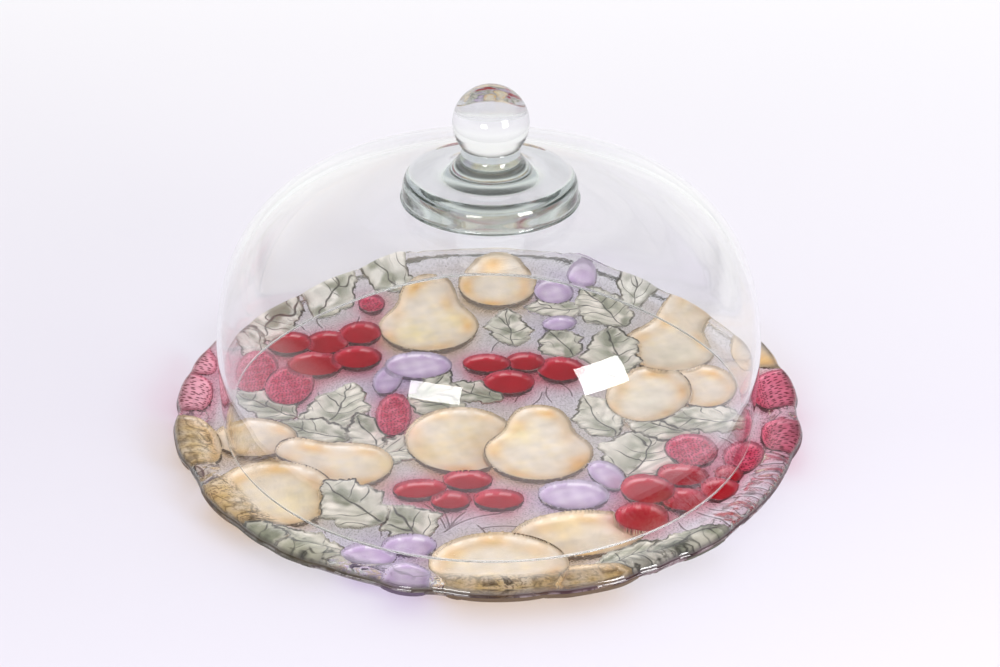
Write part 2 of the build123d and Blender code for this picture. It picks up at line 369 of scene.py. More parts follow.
def make_object(name, vertices, faces, material, body, smooth, stands_for):
    """A closed mesh piece that rides on a body in place of the CAD nodes it stands for."""
    mesh = bpy.data.meshes.new(name)
    mesh.from_pydata([tuple(v) for v in vertices], [], faces)
    if enclosed_volume(mesh) < 0:
        mesh.flip_normals()
    mesh.materials.append(material)
    mesh.shade_smooth()
    mesh.set_sharp_from_angle(angle=math.radians(smooth))
    obj = bpy.data.objects.new(name, mesh)
    bpy.context.scene.collection.objects.link(obj)
    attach(obj, body)
    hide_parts(*stands_for)
    return obj


def colour_layer(mesh, name, colours):
    """Stores a colour at each of the mesh's points."""
    layer = mesh.color_attributes.new(name, "FLOAT_COLOR", "POINT")
    layer.data.foreach_set("color", np.asarray(colours, np.float32).ravel())


def number_layer(mesh, name, values, domain="POINT"):
    """Stores a number at each of the mesh's points, or faces."""
    layer = mesh.attributes.new(name, "FLOAT", domain)
    layer.data.foreach_set("value", np.asarray(values, np.float32))


def bezier(points, count):
    """Points along a cubic Bezier curve, both ends included."""
    p = np.array(points, float)
    t = np.linspace(0, 1, count)[:, None]
    return (1 - t) ** 3 * p[0] + 3 * (1 - t) ** 2 * t * p[1] + 3 * (1 - t) * t**2 * p[2] + t**3 * p[3]


def arc(centre, radius, start, end, count):
    """Points along an arc, angles in degrees from the outward direction."""
    t = np.radians(np.linspace(start, end, count))
    return np.stack([centre[0] + radius * np.cos(t), centre[1] + radius * np.sin(t)], 1)


def lathe(name, profile, material, body, stands_for):
    """Turns a closed profile of (radius, height) about the Z axis."""
    vertices, rings = [], []
    for radius, height in profile:
        if radius < 1e-7:
            rings.append([len(vertices)] * SEGMENTS)
            vertices.append((0, 0, height))
            continue
        rings.append(list(range(len(vertices), len(vertices) + SEGMENTS)))
        for step in range(SEGMENTS):
            angle = 2 * math.pi * step / SEGMENTS
            vertices.append((radius * math.cos(angle), radius * math.sin(angle), height))
    faces = []
    for here, above in zip(rings, rings[1:] + rings[:1]):
        for step in range(SEGMENTS):
            after = (step + 1) % SEGMENTS
            corners = [here[step], here[after], above[after], above[step]]
            face = list(dict.fromkeys(corners))
            if len(face) > 2:
                faces.append(face)
    return make_object(name, vertices, faces, material, body, TURNED_SMOOTH, stands_for)


# ---- Materials ----
GLASS_IOR = 1.5
STIPPLE = 950.0  # dots to a metre
VEIN_SPACING = 9.5  # mm between a leaf's side veins
MATT_FOOT, MATT_FADE = 0.6 * MM, 0.4 * MM  # height of the dome's ground foot, and of its fade


class Graph:
    """The nodes of a material or of the world, with short ways to add and join them."""

    def __init__(self, tree):
        self.nodes, self.links = tree.nodes, tree.links
        self.coordinates = self.nodes.new("ShaderNodeTexCoord").outputs

    def put(self, node, values):
        """Puts a socket, a number or a colour into each of the named inputs."""
        for name, value in values.items():
            if isinstance(value, bpy.types.NodeSocket):
                self.links.new(value, node.inputs[name])
            elif isinstance(value, tuple):
                node.inputs[name].default_value = (*value, 1)
            else:
                node.inputs[name].default_value = value
        return node

    def add(self, kind, **values):
        """A new node, with values in its inputs."""
        return self.put(self.nodes.new(f"ShaderNode{kind}"), values)

    def attribute(self, name):
        """The outputs of a value that the mesh stores at its points or faces."""
        node = self.add("Attribute")
        node.attribute_name = name
        return node.outputs

    def split(self, vector):
        return self.add("SeparateXYZ", Vector=vector).outputs

    def noise(self, scale, detail=2.0, distortion=0.0):
        """Noise over the object, its scale in cells to a metre."""
        place = self.coordinates["Object"]
        return self.add("TexNoise", Vector=place, Scale=scale, Detail=detail, Distortion=distortion).outputs

    def mapped(self, value, from_low, from_high, to_low, to_high, smooth=False):
        """The value's range mapped to another range, clamped."""
        node = self.add("MapRange", Value=value)
        node.interpolation_type = "SMOOTHSTEP" if smooth else "LINEAR"
        self.put(node, {"From Min": from_low, "From Max": from_high, "To Min": to_low, "To Max": to_high})
        return node.outputs[0]

    def maths(self, operation, *values):
        """A Math node; the values are sockets or numbers."""
        node = self.put(self.nodes.new("ShaderNodeMath"), dict(enumerate(values)))
        node.operation = operation
        return node.outputs[0]

    def product(self, a, b):
        return self.maths("MULTIPLY", a, b)

    def gap(self, value, level):
        """How far a value is from a level, without its sign."""
        return self.maths("ABSOLUTE", self.maths("SUBTRACT", value, level))

    def mixed(self, factor, a, b, blend="MIX"):
        """A colour mix; the factor is a socket or a number, a and b sockets or colours."""
        node = self.nodes.new("ShaderNodeMix")
        node.data_type = "RGBA"
        node.blend_type = blend
        self.put(node, {"Factor": factor, "A": a, "B": b})
        return node.outputs["Result"]

    def bump(self, shader, height, strength, distance):
        bump = self.add("Bump", Height=height, Strength=strength, Distance=distance)
        self.put(shader, {"Normal": bump.outputs[0]})

    def let_light_through(self, shader, tint):
        """Lamps and bounced light pass straight through, tinted, as through real glass."""
        path = self.add("LightPath").outputs
        either = self.maths("MAXIMUM", path["Is Shadow Ray"], path["Is Diffuse Ray"])
        clear = self.add("BsdfTransparent", Color=tint)
        mix = self.nodes.new("ShaderNodeMixShader")
        self.put(mix, {0: either, 1: shader.outputs[0], 2: clear.outputs[0]})
        self.put(self.nodes["Material Output"], {"Surface": mix.outputs[0]})

    def absorb(self, colour, density):
        """A faint colour that deepens with the way through the glass."""
        volume = self.add("VolumeAbsorption", Color=colour, Density=density)
        self.put(self.nodes["Material Output"], {"Volume": volume.outputs[0]})


def new_material(name):
    material = bpy.data.materials.new(name)
    material.use_nodes = True
    graph = Graph(material.node_tree)
    return material, graph, graph.nodes["Principled BSDF"]


def clear_glass(name, tint, waviness, density, matt_below=None):
    """Polished glass with the faint waviness of blown or pressed glass, ground matt below the
    height given."""
    material, graph, shader = new_material(name)
    graph.put(shader, {
        "Base Color": (0.995, 0.998, 0.997),
        "Roughness": 0.0,
        "IOR": GLASS_IOR,
        "Transmission Weight": 1.0,
    })
    graph.bump(shader, graph.noise(18.0, 1.0)["Fac"], waviness, 2 * MM)
    graph.let_light_through(shader, tint)
    graph.absorb((0.72, 0.80, 0.77), density)
    if matt_below:
        height = graph.split(graph.coordinates["Object"])["Z"]
        matt = graph.mapped(height, matt_below - MATT_FADE, matt_below, 0.6, 0.0)
        graph.put(shader, {"Roughness": matt})
    return material


def stippled_glass(name):
    """The plate's glass: smooth above, finely stippled under the clear ground, with dark folds at the
    rim and thin stems drawn as a dark line with a painted highlight along one side."""
    material, graph, shader = new_material(name)
    mask = graph.attribute("stipple")["Fac"]
    rim = graph.attribute("rim")["Fac"]
    stem = graph.attribute("stem")["Fac"]
    dots = graph.add("TexVoronoi", Vector=graph.coordinates["Object"], Scale=STIPPLE).outputs["Distance"]
    dimple = graph.mapped(dots, 0.1, 0.5, 0.3, 1.0)
    dimple = graph.maths("ADD", graph.product(graph.maths("SUBTRACT", dimple, 1.0), mask), 1.0)
    ground = graph.mixed(1.0, graph.attribute("tint")["Color"], dimple, "MULTIPLY")
    # A painted highlight along one side of each stem.
    painted_stem_highlight = graph.mapped(graph.gap(stem, 0.9), 0.2, 0.7, 0.8, 0.0)
    ground = graph.mixed(painted_stem_highlight, ground, (1.0, 0.96, 0.97))
    dark_side = graph.mapped(graph.maths("ABSOLUTE", stem), 0.25, 0.65, 0.93, 0.0)
    ground = graph.mixed(dark_side, ground, (0.07, 0.035, 0.045))
    folds = graph.noise(62.0, 1.5, 1.4)["Fac"]
    dark_fold = graph.product(graph.mapped(graph.gap(folds, 0.5), 0.008, 0.035, 0.97, 0.0), rim)
    ground = graph.mixed(dark_fold, ground, (0.03, 0.012, 0.016))
    # The glass lets no light through where the painted edge shade covers it.
    graph.put(shader, {
        "Base Color": ground,
        "IOR": GLASS_IOR,
        "Transmission Weight": graph.maths("SUBTRACT", 1.0, graph.attribute("lip_shade_cover")["Fac"]),
        "Roughness": graph.product(mask, 0.12),
    })
    fold_height = graph.product(graph.product(folds, rim), 40.0)
    graph.bump(shader, graph.maths("ADD", graph.product(dots, mask), fold_height), 0.35, 0.25 * MM)
    graph.let_light_through(shader, (0.93, 0.93, 0.94))
    return material


def enamel(name, edge, edge_share, line, line_share, fold_share, outer_shade, light, extra=None):
    """Fired-on colour. Its tint is painted point by point; the shader adds mottling, a paler
    or darker edge, a thin broken line along the outline, dark folds at the plate's rim and
    whatever extra draws on it. The coat's side away from the glass is painted dark, as shade."""
    material, graph, shader = new_material(name)
    mottle = graph.noise(110.0, 5.0)["Fac"]
    shade = graph.mapped(mottle, 0.3, 0.7, 0.88, 1.08)
    result = graph.mixed(1.0, graph.attribute("tint")["Color"], shade, "MULTIPLY")
    u, v, depth = graph.split(graph.attribute("motif")["Vector"])
    if extra:
        result = extra(graph, result, u, v)
    soft = graph.mapped(depth, 0.3, 2.6, edge_share, 0.0, smooth=True)
    result = graph.mixed(soft, result, edge)
    folds = graph.noise(70.0, 1.5, 1.2)["Fac"]
    fold = graph.mapped(graph.gap(folds, 0.5), 0.008, 0.06, fold_share, 0.0)
    fold = graph.product(fold, graph.attribute("tint")["Alpha"])
    result = graph.mixed(fold, result, line)
    strength = graph.mapped(graph.noise(75.0)["Fac"], 0.35, 0.55, 0.15 * line_share, line_share)
    crisp = graph.product(graph.mapped(depth, 0.4, 1.25, 1.0, 0.0, smooth=True), strength)
    result = graph.mixed(crisp, result, line)
    # The coat's side away from the glass takes painted shade.
    result = graph.mixed(graph.attribute("outside")["Fac"], result, outer_shade)
    graph.put(shader, {"Base Color": result, "Roughness": 0.42, "Specular IOR Level": 0.12})
    graph.bump(shader, mottle, 0.15, 0.3 * MM)
    graph.let_light_through(shader, light)
    return material


def draw_grains(graph, result, u, v):
    """Brown grains, as the alpha of the painted tint says."""
    dark = graph.mapped(graph.noise(700.0)["Fac"], 0.5, 0.58, 0.0, 0.75)
    dark = graph.product(dark, graph.attribute("tint")["Alpha"])
    return graph.mixed(dark, result, (0.16, 0.08, 0.03))


def draw_drupelets(graph, result, u, v):
    """Dark dots in rows, one to every two millimetres."""
    place = graph.add("CombineXYZ", X=u, Y=v).outputs[0]
    cells = graph.nodes.new("ShaderNodeTexVoronoi")
    cells.voronoi_dimensions = "2D"
    graph.put(cells, {"Vector": place, "Scale": 0.55, "Randomness": 0.7})
    dot = graph.mapped(cells.outputs["Distance"], 0.2, 0.32, 0.9, 0.0)
    return graph.mixed(dot, result, (0.10, 0.003, 0.012))


def draw_veins(graph, result, u, v):
    """Green patches between the veins; a wandering midrib and broken, slanting side veins."""
    green = graph.mapped(graph.noise(85.0, 1.0)["Fac"], 0.42, 0.6, 0.0, 0.85, smooth=True)
    inner = graph.mapped(graph.maths("ABSOLUTE", u), 3.0, 11.0, 1.0, 0.15)
    result = graph.mixed(graph.product(green, inner), result, (0.24, 0.25, 0.18))
    wander = graph.add("SeparateColor", Color=graph.noise(55.0, 1.0)["Color"]).outputs
    shift_u = graph.mapped(wander[0], 0.2, 0.8, -3.5, 3.5)
    shift_v = graph.mapped(wander[1], 0.2, 0.8, -6.5, 6.5)
    across = graph.maths("ABSOLUTE", graph.maths("ADD", u, shift_u))
    rib = graph.mapped(across, 0.2, 0.6, 0.9, 0.0)
    slant = graph.maths("SUBTRACT", v, graph.product(across, 0.9))
    slant = graph.maths("ADD", slant, shift_v)
    row = graph.maths("FRACT", graph.maths("DIVIDE", slant, VEIN_SPACING))
    side = graph.mapped(graph.gap(row, 0.5), 0.02, 0.06, 0.9, 0.0)
    broken = graph.mapped(wander[2], 0.4, 0.52, 0.0, 1.0)
    lines = graph.maths("MAXIMUM", rib, graph.product(side, broken))
    return graph.mixed(lines, result, (0.06, 0.055, 0.05))


dome_glass = clear_glass("dome_glass", (0.975, 0.975, 0.98), 0.02, 3.0, serving_face + MATT_FOOT)
disc_glass = clear_glass("disc_glass", (0.93, 0.94, 0.94), 0.03, 18.0)
ball_glass = clear_glass("ball_glass", (0.96, 0.96, 0.97), 0.02, 3.0)
plate_glass = stippled_glass("plate_glass")
SLOT = {
    "pear": "cream_enamel",
    "berry": "red_enamel",
    "raspberry": "pink_enamel",
    "plum": "lavender_enamel",
    "leaf": "green_enamel",
}
LOOK = {
    "pear": dict(
        edge=(0.70, 0.55, 0.36), edge_share=0.4, line=(0.06, 0.03, 0.01), line_share=0.4,
        fold_share=0.95, outer_shade=(0.12, 0.08, 0.05), light=(0.85, 0.72, 0.5), extra=draw_grains,
    ),
    "berry": dict(
        edge=(0.66, 0.14, 0.20), edge_share=0.45, line=(0.05, 0.004, 0.01), line_share=0.4,
        fold_share=0.3, outer_shade=(0.05, 0.004, 0.008), light=(0.85, 0.35, 0.42),
    ),
    "raspberry": dict(
        edge=(0.80, 0.26, 0.36), edge_share=0.5, line=(0.05, 0.006, 0.012), line_share=0.5,
        fold_share=0.3, outer_shade=(0.06, 0.008, 0.015), light=(0.9, 0.5, 0.6), extra=draw_drupelets,
    ),
    "plum": dict(
        edge=(0.80, 0.74, 0.84), edge_share=0.5, line=(0.06, 0.035, 0.07), line_share=0.4,
        fold_share=0.8, outer_shade=(0.10, 0.07, 0.11), light=(0.8, 0.7, 0.85),
    ),
    "leaf": dict(
        edge=(0.74, 0.69, 0.61), edge_share=0.5, line=(0.04, 0.036, 0.03), line_share=0.9,
        fold_share=0.95, outer_shade=(0.08, 0.075, 0.055), light=(0.88, 0.87, 0.82), extra=draw_veins,
    ),
}
ENAMEL = {colour: enamel(SLOT[colour], **look) for colour, look in LOOK.items()}


# ---- Plate ----
def disc_grid(cells):
    """Points of a square grid laid evenly over a unit disc, its quads and its border."""
    side = np.linspace(-1, 1, cells + 1)
    a, b = np.meshgrid(side, side, indexing="ij")
    wide = np.abs(a) > np.abs(b)
    r = np.where(wide, a, b)
    with np.errstate(divide="ignore", invalid="ignore"):
        phi = np.where(wide, math.pi / 4 * b / a, math.pi / 2 - math.pi / 4 * a / b)
    phi = np.nan_to_num(phi)
    index = np.arange((cells + 1) ** 2).reshape(cells + 1, cells + 1)
    quads = np.stack(
        [index[:-1, :-1], index[1:, :-1], index[1:, 1:], index[:-1, 1:]], -1
    ).reshape(-1, 4)
    border = np.concatenate([index[:-1, 0], index[-1, :-1], index[:0:-1, -1], index[0, :0:-1]])
    return (r * np.cos(phi)).ravel(), (r * np.sin(phi)).ravel(), quads, border


WAVE = 2.4  # mm, how far the edge swells out where fruit meets it
WAVE_STEPS = 1440  # round the edge
SOFTENING, OVERLAP = 23, 30  # steps over which the wave is softened and meets itself
MEETING = 156.0  # mm from the middle, where fruit are looked for
FULL_SWELL = 9.0  # mm, a fruit's depth there that gives the whole swell
WAVED_FROM = 0.88  # share of the radius beyond which the grid follows the wave


def rising(value, start, width):
    """0 up to start, 1 from start + width on, and a straight ramp between."""
    return np.clip((value - start) / width, 0, 1)


def edge_radius(theta):
    """Radius of the plate's waved edge, in mm."""
    around = np.linspace(-math.pi, math.pi, WAVE_STEPS + 1)
    owner, _, own_depth, _, _, _ = survey(MEETING * np.cos(around), MEETING * np.sin(around))
    swell = np.where(owner >= 0, np.sqrt(rising(own_depth, 0, FULL_SWELL)), 0)
    kernel = np.hanning(SOFTENING)
    lapped = np.concatenate([swell[-OVERLAP:], swell, swell[:OVERLAP]])
    swell = np.convolve(lapped, kernel / kernel.sum(), "same")[OVERLAP:-OVERLAP]
    return np.interp(theta, around, plate_reach - WAVE + WAVE * swell)


unit_x, unit_y, quads, border = disc_grid(GRID)
unit_r = np.hypot(unit_x, unit_y)
theta = np.arctan2(unit_y, unit_x)
edge = edge_radius(theta)
blend = rising(unit_r, WAVED_FROM, 1 - WAVED_FROM) ** 2
radius = unit_r * (plate_reach * (1 - blend) + edge * blend)
px, py = radius * np.cos(theta), radius * np.sin(theta)

# Points near an outline move onto it, so that every fruit has a smooth edge.
SPACING = 0.87 * 2 * plate_reach / GRID  # mm between most of the grid's points
SNAP = 0.52  # of the spacing
FIXED_FROM = 0.985  # share of the radius beyond which points stay
SLOPE_STEP = 0.05
LEAST_SLOPE = 0.5  # less means a ridge, halfway between two outlines
depth_in = survey(px, py)[1]
slope_x = (survey(px + SLOPE_STEP, py)[1] - survey(px - SLOPE_STEP, py)[1]) / (2 * SLOPE_STEP)
slope_y = (survey(px, py + SLOPE_STEP)[1] - survey(px, py - SLOPE_STEP)[1]) / (2 * SLOPE_STEP)
steep = np.hypot(slope_x, slope_y)
near = (depth_in < SNAP * SPACING) & (steep > LEAST_SLOPE) & (unit_r < FIXED_FROM)
move = np.where(near, depth_in / np.maximum(steep, LEAST_SLOPE) ** 2, 0)
px, py = px - move * slope_x, py - move * slope_y

owner, depth_in, own_depth, own_u, own_v, red = survey(px, py)
bulge = relief(owner, own_depth, own_u, own_v)
bulge = np.where(near, 0, bulge)
out = np.hypot(px, py)

TURN_UP_START, TURN_UP_WIDTH = 143.0, 13.0  # mm


def turn_up(radius):
    """How far the rim has turned up at a radius, in mm."""
    t = rising(radius, TURN_UP_START, TURN_UP_WIDTH)
    return (rim_top - serving_face) / MM * t * t * (3 - 2 * t)


# The lip: the underside rounds up to the middle of the edge.
LIP = 2.4  # mm
RIM_FLATTENS = 16.0  # mm from the edge, within which the fruit bulge less
STIPPLE_FADES = 3.0  # mm from the edge
from_edge = np.maximum(edge - out, 0)
into_lip = np.clip(edge - out, 0, LIP) / LIP
round_up = LIP * (1 - np.sqrt(np.clip(1 - (1 - into_lip) ** 2, 0, 1)))
flatter = rising(from_edge, 0, RIM_FLATTENS) ** 0.7
under_z = ground_height + turn_up(out) - bulge * flatter + round_up
under = np.stack([px, py, under_z], 1)  # mm

# Top: from the lip's middle over the rounded edge, down to the flat serving face.
LIP_ANGLES = (25, 50, 75, 90)
TOP_RADII = (156.0, 153.5, 151.0, 148.5, 146.5, 145.0, 143.5, 142.0, 120.0, 60.0)
border_theta, border_edge = theta[border], edge[border]
lip_middle, lip_top = under_z[border], rim_top / MM
top_rings = []
for angle in np.radians(LIP_ANGLES):
    inward = LIP * (1 - math.cos(angle))
    top_rings.append((border_edge - inward, lip_middle + (lip_top - lip_middle) * math.sin(angle)))
for ring_radius in TOP_RADII:
    height = serving_face / MM + turn_up(ring_radius)
    top_rings.append((np.full(border.shape, ring_radius), np.full(border.shape, height)))
top = [np.stack([r * np.cos(border_theta), r * np.sin(border_theta), z], 1) for r, z in top_rings]
plate_vertices = np.concatenate([under, *top]) * MM
count = len(border)
rings = [border] + [len(under) + count * k + np.arange(count) for k in range(len(top))]
plate_faces = [tuple(quad) for quad in quads[:, ::-1].tolist()]
for lower, upper in zip(rings, rings[1:]):
    loop = np.stack([lower, np.roll(lower, -1), np.roll(upper, -1), upper], 1)
    plate_faces += [tuple(quad) for quad in loop.tolist()]
plate_faces.append(tuple(rings[-1].tolist()))
plate = make_object(
    "cake_plate_glass", plate_vertices, plate_faces, plate_glass, "plate", RELIEF_SMOOTH,
    ("cake_plate",),
)


def plain(colour):
    """One colour at every grid point."""
    return np.tile(np.array(colour), (len(px), 1))


def mix_towards(base, other, share):
    """The base colours moved towards another, by a share for each grid point."""
    share = np.clip(share, 0, 1)[:, None]
    return base * (1 - share) + np.asarray(other) * share


# The rim carries the strongest colour and painted shade in front and at the sides; behind, it is painted
# pale, as a veil of reflected light makes it.
at_rim = rising(out, 142, 5)
in_front = rising(-py, -30, 50)
edge_shade_in_front = rising(-py, -95, 40)
rightwards = rising(px, -40, 80)
patchy = 0.85 + 0.15 * np.sin(theta * 23) * np.cos(theta * 9 + 1)
edge_width = 1.2 + 1.6 * in_front
# Painted shade along the plate's edge, wider and darker in front.
edge_shade = patchy * edge_shade_in_front * np.clip(1.7 * np.exp(-from_edge / edge_width), 0, 1)
edge_shade_colour = mix_towards(plain([0.035, 0.022, 0.008]), (0.03, 0.006, 0.012), rightwards)
blots = np.clip(1.6 * np.sin(px * 0.33 + 0.22 * py) * np.cos(py * 0.41 - 0.3 * px), 0, 1)

# The clear ground is painted with a pink glow, as light from red fruit beside it gives.
PAINTED_GLOW_REACH = 5.0  # mm
ground_tint = mix_towards(plain([0.97, 0.955, 0.965]), (0.92, 0.27, 0.37), np.exp(-red / PAINTED_GLOW_REACH))
ground_tint = mix_towards(ground_tint, (0.80, 0.42, 0.52), 0.5 * at_rim * in_front * rightwards)
ground_tint = mix_towards(ground_tint, (0.10, 0.05, 0.05), 0.85 * at_rim * in_front * blots**2)
edge_share = edge_shade[:, None]
ground_tint = ground_tint * (1 - edge_share) + edge_shade_colour * edge_share
tint = np.ones((len(plate_vertices), 4))
tint[: len(under), :3] = ground_tint
# Painted shade on the lip's first rings.
LIP_SHADES = (0.98, 0.8, 0.3)  # how dark the lip's first rings are
for ring, share in zip(rings[1:], LIP_SHADES):
    shade = share * edge_shade_in_front[border][:, None]
    tint[ring, :3] = 1 - shade + shade * edge_shade_colour[border]
colour_layer(plate.data, "tint", tint)


def plate_layer(name, below, above=0.0):
    """A number for each of the plate's points: those of its underside, and the rest."""
    values = np.full(len(plate_vertices), above)
    values[: len(under)] = below
    number_layer(plate.data, name, values)


# Over the outer edge the painted shade covers the glass in patches, so that the lip shows dark.
lip_shade_patches = 0.75 + 0.5 * np.sin(theta * 31 + 2) * np.cos(theta * 12) + 0.25 * np.sin(theta * 67)
lip_shade_patches = np.clip(lip_shade_patches, 0.15, 1) * edge_shade_in_front
lip_shade_cover = np.zeros(len(plate_vertices))
lip_shade_cover[: len(under)] = np.clip(1.5 - from_edge / 0.9, 0, 1) * lip_shade_patches
lip_shade_cover[rings[1]] = lip_shade_patches[border]
lip_shade_cover[rings[2]] = 0.2 * lip_shade_patches[border]
number_layer(plate.data, "lip_shade_cover", lip_shade_cover)
plate_layer("stipple", rising(from_edge, 0, STIPPLE_FADES))
plate_layer("rim", at_rim * (0.15 + 0.85 * in_front))
plate_layer("stem", stem_distance(px, py), NO_STEM)


# ---- Fired-on colours ----
# A closed thin coat for each colour, sunk a hair into the glass.

# Painted shade darkens the side of each fruit towards the front; a painted highlight lightens the side
# away.
NEAR_SIDE_PAINTED_SHADE = {
    "pear": (0.20, 0.15, 0.10),
    "berry": (0.10, 0.004, 0.012),
    "raspberry": (0.16, 0.01, 0.03),
    "plum": (0.16, 0.12, 0.17),
    "leaf": (0.16, 0.16, 0.11),
}
FAR_SIDE_PAINTED_HIGHLIGHT = {"pear": 0.45, "berry": 0.3, "raspberry": 0.2, "plum": 0.6, "leaf": 0.25}

# Stains on the pears: place, radius and colour.
STAINS = [
    ((50, -50), 10, (0.86, 0.47, 0.15)),
    ((16, -22), 9, (0.90, 0.76, 0.45)),
    ((-8, -26), 17, (0.76, 0.60, 0.36)),
    ((-30, -40), 12, (0.80, 0.62, 0.36)),
    ((-42, 84), 11, (0.92, 0.78, 0.44)),
    ((-20, 100), 9, (0.90, 0.74, 0.42)),
    ((-92, -84), 12, (0.90, 0.76, 0.50)),
    ((-50, -50), 10, (0.90, 0.74, 0.46)),
    ((36, -100), 9, (0.92, 0.72, 0.42)),
    ((104, 60), 16, (0.72, 0.66, 0.54)),
    ((85, 10), 14, (0.74, 0.68, 0.57)),
]

# Two soft patterns over the plate, from 0 to 1, and how far out on the rim a point is.
wobble = 0.5 + 0.5 * np.sin(px * 0.21 + 1.3) * np.cos(py * 0.17 - 0.4)
fine = 0.5 + 0.5 * np.sin(px * 0.53 - 0.8 * py * 0.31) * np.cos(py * 0.47 + 0.2 * px)
on_rim = rising(out, 141, 8)


def pear_paint():
    ring = wobble**1.5 * np.exp(-(((own_depth - 5) / 4.5) ** 2))
    tone = mix_towards(plain([0.82, 0.72, 0.61]), (0.86, 0.50, 0.18), ring)
    tone = mix_towards(tone, (0.92, 0.74, 0.42), 0.45 * fine * wobble)
    for place, reach, stain_colour in STAINS:
        away = np.hypot(px - place[0], py - place[1]) / reach
        tone = mix_towards(tone, stain_colour, 0.9 * np.exp(-(away**2)) * (0.6 + 0.4 * fine))
    stained = on_rim * rising(-py, 0, 30)
    return mix_towards(tone, (0.62, 0.42, 0.16), 0.85 * stained * (0.4 + 0.6 * fine))


def berry_paint():
    deep = 0.9 * rising(own_depth, 0, 6)
    return mix_towards(plain([0.50, 0.015, 0.035]), (0.40, 0.002, 0.012), deep)


def raspberry_paint():
    tone = mix_towards(plain([0.52, 0.03, 0.085]), (0.85, 0.22, 0.34), 0.45 * fine)
    tone = mix_towards(tone, (0.86, 0.30, 0.42), 0.45 * on_rim)
    return mix_towards(tone, (0.88, 0.55, 0.62), 0.55 * on_rim * (1 - rightwards))


def plum_paint():
    pale = 0.7 * rising(own_depth, 0, 7) * (0.4 + 0.6 * fine)
    return mix_towards(plain([0.50, 0.36, 0.56]), (0.84, 0.74, 0.84), pale)


def leaf_paint():
    tone = mix_towards(plain([0.74, 0.68, 0.60]), (0.90, 0.82, 0.73), 0.8 * fine)
    tone = mix_towards(tone, (0.46, 0.46, 0.36), 0.6 * (1 - wobble))
    tone = mix_towards(tone, (0.42, 0.41, 0.29), 0.7 * on_rim * in_front * (1 - 0.7 * rightwards))
    # Behind, the rim's leaves are painted pale, as a veil of reflected light makes them.
    return mix_towards(tone, (0.86, 0.83, 0.78), 0.65 * on_rim * (1 - in_front))


PAINT = {
    "pear": pear_paint,
    "berry": berry_paint,
    "raspberry": raspberry_paint,
    "plum": plum_paint,
    "leaf": leaf_paint,
}


def paint(colour):
    """The colour of every grid point as if this colour covered it, with painted glow, shade and highlights.
    """
    tone = PAINT[colour]()
    # Next to red fruit, a painted pink glow of their light.
    if colour in ("pear", "leaf", "plum"):
        tone = mix_towards(tone, (0.85, 0.4, 0.5), 0.45 * np.exp(-red / 3.5))
    # Painted shade along the side of each fruit towards the front.
    painted_near_shade = np.clip(slope_y * 1.3, 0, 1) * np.exp(-((own_depth / 2.3) ** 2))
    tone = mix_towards(tone, NEAR_SIDE_PAINTED_SHADE[colour], 0.92 * painted_near_shade)
    # A painted highlight along the side of each fruit away from the front.
    painted_far_highlight = np.clip(-slope_y * 1.5 - 0.4, 0, 1) * np.exp(-(((own_depth - 1.6) / 0.8) ** 2))
    tone = mix_towards(tone, (1.0, 0.98, 0.97), FAR_SIDE_PAINTED_HIGHLIGHT[colour] * painted_far_highlight * (fine > 0.45))
    # The painted shade along the plate's edge covers the coats too.
    return tone * (1 - edge_share) + edge_shade_colour * edge_share


# How grainy and folded the colour is at each grid point: only at the plate's rim.
patches = np.clip(np.sin(px * 0.11 + 0.7) * np.cos(py * 0.13 + 0.9), 0, 1)
rim_grain = rising(out, 141, 6) * (0.5 + 0.5 * patches) * (0.1 + 0.9 * in_front)


def point_normals(points, faces):
    """Smooth unit normals of the underside, pointing down and out of the glass."""
    a, b, c, d = (points[faces[:, k]] for k in range(4))
    face_normal = np.cross(d - b, c - a)
    total = np.zeros_like(points)
    for k in range(4):
        np.add.at(total, faces[:, k], face_normal)
    total /= np.maximum(np.linalg.norm(total, axis=1, keepdims=True), 1e-9)
    return -total if total[:, 2].sum() > 0 else total


def rim_edges(faces):
    """The edges that only one face has, each in that face's direction."""
    sides = {}
    for f in faces.tolist():
        for k in range(4):
            pair = (f[k], f[(k + 1) % 4])
            if pair[::-1] in sides:
                del sides[pair[::-1]]
            else:
                sides[pair] = True
    return list(sides)


SUNK = 0.06  # mm, how far the coat's inner face lies inside the glass
COAT = 0.22  # mm, how far its outer face stands out of it
FLAT_GROUND = 0.05  # mm, a bulge that is too small to be a fruit's side
outward = point_normals(under, quads)
# A face takes the colour at its middle. One that only starts down a fruit's side takes the
# fruit's, so that no slope is left clear.
face_kind = KIND[survey(px[quads].mean(1), py[quads].mean(1))[0]]
sloping = (face_kind < 0) & (bulge[quads].max(1) > FLAT_GROUND)
lowest_corner = quads[np.arange(len(quads)), bulge[quads].argmax(1)]
face_kind = np.where(sloping, KIND[owner[lowest_corner]], face_kind)

for kind, colour in enumerate(COLOURS):
    used, compact = np.unique(quads[face_kind == kind], return_inverse=True)
    compact = compact.reshape(-1, 4)
    inner_face = under[used] - SUNK * outward[used]
    outer_face = under[used] + COAT * outward[used]
    shift = len(used)
    faces = [tuple(f) for f in compact.tolist()]
    faces += [tuple(f) for f in (compact[:, ::-1] + shift).tolist()]
    faces += [(a, a + shift, b + shift, b) for a, b in rim_edges(compact)]
    coat = make_object(
        f"{colour}_coat", np.concatenate([inner_face, outer_face]) * MM, faces, ENAMEL[colour],
        "plate", RELIEF_SMOOTH, (f"{colour}_enamel",),
    )
    painted = np.column_stack([paint(colour), rim_grain])[used]
    colour_layer(coat.data, "tint", np.tile(painted, (2, 1)))
    number_layer(coat.data, "outside", np.arange(len(faces)) >= len(compact), "FACE")
    motif = np.tile(np.stack([own_u, own_v, depth_in], 1)[used], (2, 1))
    layer = coat.data.attributes.new("motif", "FLOAT_VECTOR", "POINT")
    layer.data.foreach_set("vector", motif.astype(np.float32).ravel())


